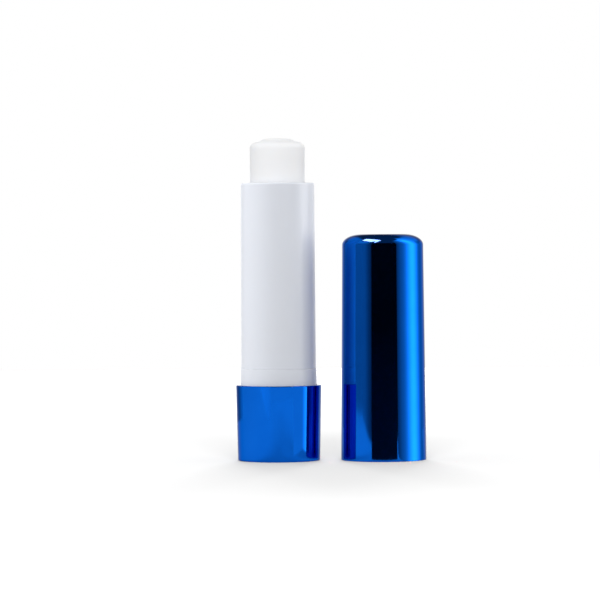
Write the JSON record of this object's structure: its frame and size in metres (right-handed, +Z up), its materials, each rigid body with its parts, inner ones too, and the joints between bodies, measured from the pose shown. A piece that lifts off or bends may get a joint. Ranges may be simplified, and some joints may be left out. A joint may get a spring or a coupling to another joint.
{
  "type": "lip balm stick",
  "caption": "Twist-up lip balm stick with a metallised blue base and cap, a white tube and a round balm, standing open with its cap beside it.",
  "frame": {"origin": "on the surface that the stick stands on, at the stick's own axis", "axes": "+Z up along the stick, from the base to the balm; +X from the stick towards the cap that stands beside it; the picture looks along +Y"},
  "size_m": [0.0423, 0.019, 0.0716],
  "materials": {
    "metallised_blue": "mirror-bright metallised blue lacquer on moulded plastic",
    "white_plastic": "polished white",
    "natural_plastic": "unpigmented, slightly translucent",
    "balm_wax": "smooth translucent wax"
  },
  "bodies": {
    "tube": {"tube": "white_plastic"},
    "base": {"base_shell": "metallised_blue", "drive_collar": "white_plastic", "feed_screw": "natural_plastic"},
    "carrier": {"carrier": "natural_plastic", "balm": "balm_wax"},
    "cap": {"cap": "metallised_blue"}
  },
  "joints": [
    {"name": "base_twist", "type": "hinge", "parent": "tube", "child": "base", "pos_m": [0, 0, 0], "axis": [0, 0, 1], "range_deg": [-855.1, 2340.1]},
    {"name": "balm_slide", "type": "slide", "parent": "tube", "child": "carrier", "axis": [0, 0, 1], "range_m": [-0.0095, 0.026]},
    {"name": "cap_lift", "type": "slide", "parent": "tube", "child": "cap", "axis": [0, 0, 1], "range_m": [0, 0.055]}
  ],
  "couplings": [
    {"joint": "base_twist", "follows": "balm_slide", "rad_per_m": 1570.8}
  ]
}
